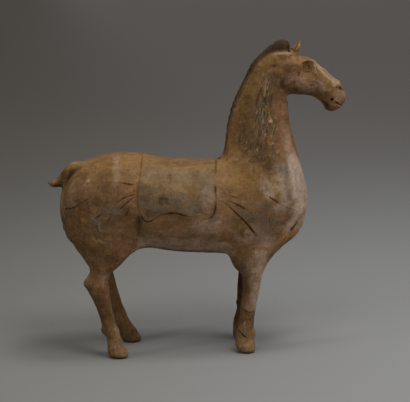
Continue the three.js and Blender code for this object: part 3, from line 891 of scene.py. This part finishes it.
PALE_AND_HIGHLIGHTS = [
    # The first four: painted highlights on the poll's rim, the brow, the ridge before the eye and the
    # nostril's upper rim
    ([(132, -8, 525), (148, -10, 526), (158, -11, 525)], 4, 0.5),
    ([(190, -24, 518), (198, -24, 516), (204, -24, 510), (207, -25, 504)], 4.5, 0.5),
    ([(203, -28, 504), (204, -29, 494)], 3.5, 0.3),
    ([(247, -13, 474), (256, -12, 468)], 5, 0.5),
    ([(246, -17, 458), (254, -14, 457.5)], 2.4, 0.45),
    ([(248, -17, 432), (254, -14, 432)], 2.6, 0.6),
    ([(199, -31, 480)], 2.6, 0.9, RIGHT),
    ([(122, -44, 411)], 3, 1, RIGHT),
    ([(125, -54, 373)], 3, 1, RIGHT),
    ([(65, -4, 426)], 2.8, 1, RIGHT),
    ([(46, -24, 348), (60, -40, 345), (72, -45, 343)], 1.8, 0.6, RIGHT),
    ([(-195, -60, 315)], 5, 0.8, RIGHT),
    ([(78, -57, 56)], 3.6, 1, RIGHT),
    ([(80, -55, 22), (92, -55, 14)], 18, 0.3),
    ([(-150, -60, 24), (-134, -60, 12)], 20, 0.3),
    # These two: painted highlights on the hind leg's front edge and on the top of the tail
    ([(-150, -58, 52), (-144, -56, 40)], 7, 0.4, RIGHT),
    ([(-219, -3, 338), (-209, -5, 340), (-200, -8, 340)], 6, 0.3),
    ([(175.5, -17, 537), (176, -16, 540)], 2.8, 0.9),
] + [(line, 1.7, 0.35, RIGHT) for line in THIGH_CURLS + PALE_LINES]
WASHES = {
    "ochre": OCHRE,
    "amber": AMBER,
    "blush": BLUSH,
    "drab": DRAB,
    "chalk_and_light": CHALK_AND_LIGHT,
    "olive_and_shade": OLIVE_AND_SHADE,
    "umber_and_shade": UMBER_AND_SHADE,
    "grey": GREY,
    "streaks": STREAKS,
    "soot_and_shade": SOOT_AND_SHADE,
    "pale_and_highlights": PALE_AND_HIGHLIGHTS,
}


def spread(points, marks):
    """How strongly a wash covers each point of the skin, from 0 to 1."""
    covered = np.zeros(len(points))
    broad = np.array([noise.noise(Vector(place) * 60) for place in points])
    small = np.array([noise.noise(Vector(place) * 190) for place in points])
    uneven = 1 + 0.45 * broad + 0.4 * small
    for path, reach, strength, *side_alone in marks:
        for side in side_alone or BOTH:
            places = [(x, side * y, z) for x, y, z in path]
            dense = path_through(places, reach * MM / 3) if len(path) > 1 else [Vector(places[0]) * MM]
            near = np.full(len(points), np.inf)
            for place in dense:
                near = np.minimum(near, ((points - np.array(place)) ** 2).sum(axis=1))
            away = np.sqrt(near) * uneven / (reach * MM)
            covered = np.maximum(covered, strength * (1 - smoothstep(0.2, 1.2, away)))
    return covered


# The roached mane: its ends along the neck and its half breadth
MANE_START = 36 * MM
MANE_END = 169 * MM
MANE_HALF = 10 * MM


def mane_cover(points):
    """1 on the roached mane and forelock, behind and above the line of the mane's foot."""
    foot = np.array(MANE_FOOT)[:, (0, 2)] * MM
    place = points[:, (0, 2)]
    near, behind = np.full(len(points), np.inf), np.zeros(len(points))
    for start, end in zip(foot, foot[1:]):
        run = end - start
        along = np.clip(((place - start) @ run) / (run @ run), 0, 1)
        apart = place - start - along[:, None] * run
        away = np.linalg.norm(apart, axis=1)
        nearer = away < near
        near = np.where(nearer, away, near)
        behind = np.where(nearer, run[0] * apart[:, 1] - run[1] * apart[:, 0], behind)
    reach = np.where(behind > 0, near, -near)
    beyond = smoothstep(MANE_HALF, MANE_HALF + 3 * MM, np.abs(points[:, 1]))
    within = (points[:, 0] > MANE_START) & (points[:, 0] < MANE_END)
    return smoothstep(-0.8 * MM, 1.4 * MM, reach) * (1 - beyond) * within


def mark(piece, name, amounts):
    piece.data.attributes.new(name, "FLOAT", "POINT").data.foreach_set("value", amounts.astype(np.float32))


def make_horse():
    skin = make_skin()
    lines, creases = drawn_lines(skin), soft_creases(skin)
    middles = middles_of(skin)
    split_faces(skin, (lines.near(middles)[0] < 2 * LINE_REACH) | in_head(middles))
    middles = middles_of(skin)
    near_right = (lines.near(middles)[0] < LINE_REACH) & (middles[:, 1] < 0)
    split_faces(skin, near_right | by_features(middles))
    dark = carve(skin, lines, creases)
    points = points_of(skin)
    # The lines' and creases' darkness, with a painted contact shadow along the soles
    mark(skin, "dirt_and_shade", np.maximum(dark, 0.9 * (1 - smoothstep(0, SOLE_SHADOW_REACH, points[:, 2]))))
    mark(skin, "mane", mane_cover(points))
    for name, marks in WASHES.items():
        mark(skin, name, spread(points, marks))
    for face in skin.data.polygons:
        face.use_smooth = True
    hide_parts("horse")
    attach(skin, "root")
    return skin


# The finish of the clay


class Number:
    """A number that changes over the clay, so that a sum of such numbers is written as a sum."""

    def __init__(self, finish, socket):
        self.finish = finish
        self.socket = socket

    def _by(self, operation, *numbers):
        node = self.finish.node("ShaderNodeMath", {"operation": operation}, dict(enumerate(numbers)))
        return Number(self.finish, node.outputs[0])

    def __add__(self, other):
        return self._by("ADD", self, other)

    def __sub__(self, other):
        return self._by("SUBTRACT", self, other)

    def __mul__(self, other):
        return self._by("MULTIPLY", self, other)

    def __radd__(self, other):
        return self._by("ADD", other, self)

    def __rsub__(self, other):
        return self._by("SUBTRACT", other, self)

    def __rmul__(self, other):
        return self._by("MULTIPLY", other, self)

    def rise(self, low, high):
        """0 up to low, 1 from high on, and a smooth rise between them."""
        settings = {"interpolation_type": "SMOOTHSTEP"}
        inputs = {"Value": self, "From Min": low, "From Max": high}
        return Number(self.finish, self.finish.node("ShaderNodeMapRange", settings, inputs).outputs[0])


class Finish:
    """A painted and worn surface, with its patterns laid out in the figure's own metres."""

    def __init__(self, name):
        self.material = bpy.data.materials.new(name)
        self.material.use_nodes = True
        self.tree = self.material.node_tree
        self.shader = self.tree.nodes["Principled BSDF"]
        self.places = self.node("ShaderNodeTexCoord").outputs["Object"]

    def node(self, kind, settings=None, inputs=None):
        """Adds a node with its settings, then its sockets' values or links."""
        node = self.tree.nodes.new(kind)
        for name, value in (settings or {}).items():
            setattr(node, name, value)
        for name, value in (inputs or {}).items():
            self.feed(node.inputs[name], value)
        return node

    def feed(self, socket, value):
        if isinstance(value, Number):
            value = value.socket
        if isinstance(value, bpy.types.NodeSocket):
            self.tree.links.new(value, socket)
        else:
            socket.default_value = value

    def cover(self, name):
        """A wash or stain that was spread over the skin, by its name."""
        return Number(self, self.node("ShaderNodeAttribute", {"attribute_name": name}).outputs["Fac"])

    def grain(self, size, detail=4, rough=0.55, stretch=(1, 1, 1), lean=0, shift=0):
        """A cloudy pattern of about that size in mm, drawn out by stretch along leaning axes."""
        settings = {"vector_type": "TEXTURE"}
        inputs = {
            "Vector": self.places,
            "Location": (shift, shift, shift),
            "Rotation": (0, math.radians(lean), 0),
            "Scale": stretch,
        }
        laid = self.node("ShaderNodeMapping", settings, inputs).outputs[0]
        inputs = {"Vector": laid, "Scale": 1 / (size * MM), "Detail": detail, "Roughness": rough}
        return Number(self, self.node("ShaderNodeTexNoise", None, inputs).outputs[0])

    def specks(self, spacing, size, shift=0):
        """Round specks of about that size, one to each cell of the spacing, both in mm."""
        inputs = {"Vector": self.places, "Location": (shift, shift, shift)}
        laid = self.node("ShaderNodeMapping", {"vector_type": "TEXTURE"}, inputs).outputs[0]
        inputs = {"Vector": laid, "Scale": 1 / (spacing * MM)}
        away = Number(self, self.node("ShaderNodeTexVoronoi", None, inputs).outputs["Distance"])
        return 1 - away.rise(0.3 * size / spacing, size / spacing)

    def lit(self, colour, amount):
        """A colour made brighter or darker, by an amount about 1."""
        inputs = {"Vector": colour, "Scale": amount}
        return self.node("ShaderNodeVectorMath", {"operation": "SCALE"}, inputs).outputs[0]

    def over(self, under, colour, amount):
        """One colour laid over another by an amount."""
        under, colour = [(*tone, 1) if isinstance(tone, tuple) else tone for tone in (under, colour)]
        inputs = {0: amount, 6: under, 7: colour}
        return self.node("ShaderNodeMix", {"data_type": "RGBA"}, inputs).outputs[2]


CLAY = (0.171, 0.096, 0.043)
CLAY_LIGHT = (0.255, 0.157, 0.08)
CLAY_DARK = (0.09, 0.048, 0.019)
OCHRE_TONE = (0.242, 0.141, 0.041)
AMBER_TONE = (0.34, 0.16, 0.045)
BLUSH_TONE = (0.22, 0.112, 0.058)
DRAB_TONE = (0.192, 0.147, 0.082)
CHALK_TONE = (0.44, 0.322, 0.242)
OLIVE_AND_SHADE_TONE = (0.092, 0.062, 0.018)
UMBER_AND_SHADE_TONE = (0.068, 0.036, 0.012)
GREY_TONE = (0.118, 0.095, 0.068)
STREAK_TONE = (0.042, 0.027, 0.014)
STREAK_GREY = (0.104, 0.073, 0.036)
SOOT_AND_SHADE_TONE = (0.028, 0.016, 0.009)
PALE_TONE = (0.4, 0.29, 0.17)
MANE_TONE = (0.045, 0.025, 0.01)
MANE_GREY = (0.084, 0.052, 0.022)
STAIN_AND_SHADE_TONE = (0.075, 0.038, 0.015)
DIRT_AND_SHADE_TONE = (0.035, 0.018, 0.009)


class WornClay(Finish):
    """The horse's fired clay: its patterns, and its colour as layers are laid over each other."""

    def __init__(self):
        super().__init__("worn_earthenware")
        self.colour = CLAY
        self.broad = self.grain(60, 5, 0.6)
        self.blotchy = self.grain(24, 6, 0.66, shift=15)
        self.middle = self.grain(20, 5, 0.6, shift=3)
        self.ragged = self.grain(13, 6, 0.68, shift=2)
        self.small = self.grain(6, 4, 0.6, shift=7)
        self.fine = self.grain(2.6, 3, 0.6, shift=11)
        self.worn = self.grain(12, 6, 0.75, stretch=(2, 1, 1), shift=8)
        self.brushed = self.grain(3.2, 3, 0.6, stretch=(1, 1, 6), shift=13)
        self.strokes = self.grain(3, 2, 0.5, stretch=(1, 1, 26), lean=9, shift=1)
        self.pits = self.specks(13, 1.3, 9)

    def lay(self, tone, amount):
        self.colour = self.over(self.colour, tone, amount)

    def patchy(self, name, pattern, low, high, least=0.0):
        """A wash that is rubbed away to patches, and to its least cover where the pattern is low."""
        return self.cover(name) * (least + (1 - least) * pattern.rise(low, high))


def lay_washes(clay):
    """Slip, tomb earth and stains, with painted bounce light and painted shade among them, from the first to
    the last.
    """
    clay.lay(CLAY_LIGHT, clay.broad.rise(0.42, 0.68) * 0.5)
    clay.lay(OCHRE_TONE, clay.patchy("ochre", clay.middle, 0.35, 0.6, 0.35))
    rosy = clay.grain(22, 4, 0.6, shift=5)
    clay.lay(BLUSH_TONE, clay.patchy("blush", rosy, 0.38, 0.6, 0.3) * 0.9)
    clay.lay(DRAB_TONE, clay.patchy("drab", clay.middle, 0.36, 0.6, 0.4))
    clay.lay(CLAY_LIGHT, clay.ragged.rise(0.53, 0.63) * 0.45)
    # Whitish slip, with painted bounce light under the belly and on the forelegs' lit sides
    clay.lay(CHALK_TONE, clay.patchy("chalk_and_light", clay.ragged, 0.36, 0.58, 0.65))
    clay.lay(AMBER_TONE, clay.patchy("amber", clay.small, 0.36, 0.56, 0.3))
    # Greenish and dark brown stains, with painted shade in the eye sockets, under the jaw and chin, at the
    # tail's root, at the elbows and on the far legs
    clay.lay(OLIVE_AND_SHADE_TONE, clay.patchy("olive_and_shade", clay.middle, 0.34, 0.6))
    clay.lay(UMBER_AND_SHADE_TONE, clay.patchy("umber_and_shade", clay.ragged, 0.38, 0.58, 0.35))
    clay.lay(CLAY_DARK, clay.blotchy.rise(0.53, 0.65) * (0.42 - 0.3 * clay.cover("chalk_and_light")))
    clay.lay(GREY_TONE, clay.patchy("grey", clay.ragged, 0.33, 0.6) * 0.8)


def lay_streaks(clay):
    """The streaks that run down the neck, and the darkened mane."""
    streaks = clay.cover("streaks")
    washed = clay.grain(6.5, 2, 0.5, stretch=(1, 1, 18), lean=9, shift=4)
    rubbed = clay.grain(2.6, 2, 0.5, stretch=(1, 1, 22), lean=9, shift=17)
    clay.lay(STREAK_GREY, streaks * washed.rise(0.4, 0.58) * 0.75)
    clay.lay(STREAK_TONE, streaks * clay.strokes.rise(0.5, 0.64) * 0.7)
    clay.lay(CHALK_TONE, streaks * rubbed.rise(0.58, 0.7) * 0.35)
    hairs = clay.grain(2.2, 3, 0.6, stretch=(1, 1, 5), lean=20, shift=6)
    clay.lay(clay.over(MANE_TONE, MANE_GREY, hairs.rise(0.42, 0.68)), clay.cover("mane"))


def lay_marks_and_painted_light(clay):
    """Soot, chips, specks, whitish marks and earth in the lines, with painted shade in holes, creases, under
    the chin, at the elbows and along the soles, and painted highlights.
    """
    clay.lay(SOOT_AND_SHADE_TONE, clay.patchy("soot_and_shade", clay.small, 0.35, 0.6, 0.6))
    clay.lay(PALE_TONE, clay.patchy("pale_and_highlights", clay.small, 0.38, 0.6, 0.5))
    clay.lay(PALE_TONE, clay.specks(9, 1.1, 5) * clay.broad.rise(0.45, 0.6) * 0.4)
    clay.lay(SOOT_AND_SHADE_TONE, clay.pits * clay.middle.rise(0.5, 0.6) * 0.7)
    # Earth in the lines, painted shade in the creases and a painted contact shadow along the soles
    dirt_and_shade = clay.patchy("dirt_and_shade", clay.small, 0.34, 0.58, 0.5)
    clay.lay(STAIN_AND_SHADE_TONE, dirt_and_shade.rise(0.05, 0.75) * 0.8)
    clay.lay(DIRT_AND_SHADE_TONE, dirt_and_shade.rise(0.5, 1.2) * 0.75)


def clay_light(clay):
    """How bright the worn clay is, from place to place, with longer brush marks down the legs."""
    height = Number(clay, clay.node("ShaderNodeSeparateXYZ", None, {"Vector": clay.places}).outputs["Z"])
    leg = 1 - height.rise(0.14, 0.22)
    light = 1.1 * clay.worn + 0.6 * clay.small + 0.7 * clay.fine + 0.4 * clay.brushed
    return light + leg * (0.7 * clay.brushed - 0.35) - 0.42


def clay_relief(clay):
    """The finest relief, of grains, brush marks and pits, as the surface's normals."""
    relief = clay.fine * 0.7 + clay.small * 0.8 + clay.worn + clay.brushed * 0.5
    relief = relief + clay.strokes * clay.cover("streaks") + clay.blotchy * 2 - clay.pits * 0.8
    inputs = {"Height": relief, "Distance": 1 * MM, "Strength": 0.8}
    return clay.node("ShaderNodeBump", None, inputs).outputs[0]


def paint_clay():
    clay = WornClay()
    lay_washes(clay)
    lay_streaks(clay)
    lay_marks_and_painted_light(clay)
    clay.feed(clay.shader.inputs["Base Color"], clay.lit(clay.colour, clay_light(clay)))
    clay.feed(clay.shader.inputs["Roughness"], 0.95 - 0.2 * clay.middle.rise(0.4, 0.7))
    clay.feed(clay.shader.inputs["Normal"], clay_relief(clay))
    clay.shader.inputs["Specular IOR Level"].default_value = 0.3
    return clay.material


horse = make_horse()
horse.data.materials.append(paint_clay())

# Camera, floor and light


def set_camera():
    data = bpy.data.cameras.new("camera")
    camera = bpy.data.objects.new("camera", data)
    bpy.context.collection.objects.link(camera)
    level = math.cos(ELEVATION)
    back = Vector((math.sin(AZIMUTH) * level, -math.cos(AZIMUTH) * level, math.sin(ELEVATION)))
    camera.location = AIM + DISTANCE * back
    camera.rotation_euler = back.to_track_quat("Z", "Y").to_euler()
    data.sensor_width = 36
    data.lens = data.sensor_width * FOCAL / FRAME_WIDTH
    data.shift_x = -AIM_RIGHT / FRAME_WIDTH
    data.shift_y = AIM_DOWN / FRAME_WIDTH
    data.clip_end = 200
    bpy.context.scene.camera = camera


FIGURE_MIDDLE = (0, 0, 0.2)
WARM_WHITE = (1, 0.98, 0.95)

# Lamps, all of them round: name, place, aim, breadth, power and colour
LAMPS = [
    ("overhead", (0.35, -0.1, 2.0), FIGURE_MIDDLE, 0.55, 10.5, WARM_WHITE),
    ("key", (0.35, -0.9, 1.8), FIGURE_MIDDLE, 0.8, 10, WARM_WHITE),
    ("side", (-0.6, -1.25, 1.75), FIGURE_MIDDLE, 0.5, 3.5, WARM_WHITE),
    ("front", (2.0, -1.4, 0.95), (0, 0, 0.25), 2.2, 16, (1, 0.98, 0.96)),
    ("left", (-2.3, -0.9, 1.15), FIGURE_MIDDLE, 0.5, 8.5, (1, 0.99, 0.98)),
]
AIR_COLOUR = (0.5, 0.495, 0.485, 1)
AIR_STRENGTH = 0.47


def hang_lamp(name, place, aim, breadth, power, colour):
    data = bpy.data.lights.new(name, "AREA")
    data.shape = "DISK"
    data.size = breadth
    data.energy = power
    data.color = colour
    lamp = bpy.data.objects.new(name, data)
    bpy.context.collection.objects.link(lamp)
    lamp.location = place
    lamp.rotation_euler = (Vector(place) - Vector(aim)).to_track_quat("Z", "Y").to_euler()


def light_studio():
    for lamp in LAMPS:
        hang_lamp(*lamp)
    world = bpy.data.worlds.new("studio_air")
    bpy.context.scene.world = world
    world.use_nodes = True
    air = world.node_tree.nodes["Background"]
    air.inputs["Color"].default_value = AIR_COLOUR
    air.inputs["Strength"].default_value = AIR_STRENGTH


# The floor's tones, painted as light that falls off: dimmer to the left, brighter to the right, near the
# figure and far behind it
FLOOR_DIM = (0.195, 0.195, 0.175)
FLOOR_LIT = (0.325, 0.33, 0.337)
FLOOR_FAR_DIM = (0.242, 0.215, 0.188)
FLOOR_FAR_LIT = (0.353, 0.331, 0.313)
FLOOR_SPAN = 160


def make_floor():
    deselect()
    bpy.ops.mesh.primitive_plane_add(size=FLOOR_SPAN, location=(0, 0, 0))
    floor = bpy.context.object
    floor.name = "floor"
    paint = Finish("studio_floor")
    place = paint.node("ShaderNodeSeparateXYZ", None, {"Vector": paint.places}).outputs
    across, behind = Number(paint, place["X"]), Number(paint, place["Y"])
    near = paint.over(FLOOR_DIM, FLOOR_LIT, across.rise(-0.9, 0.9))
    far = paint.over(FLOOR_FAR_DIM, FLOOR_FAR_LIT, across.rise(-0.9, 0.9))
    colour = paint.over(near, far, behind.rise(0.9, 3.5))
    paint.feed(paint.shader.inputs["Base Color"], colour)
    paint.shader.inputs["Roughness"].default_value = 0.85
    floor.data.materials.append(paint.material)


set_camera()
make_floor()
light_studio()
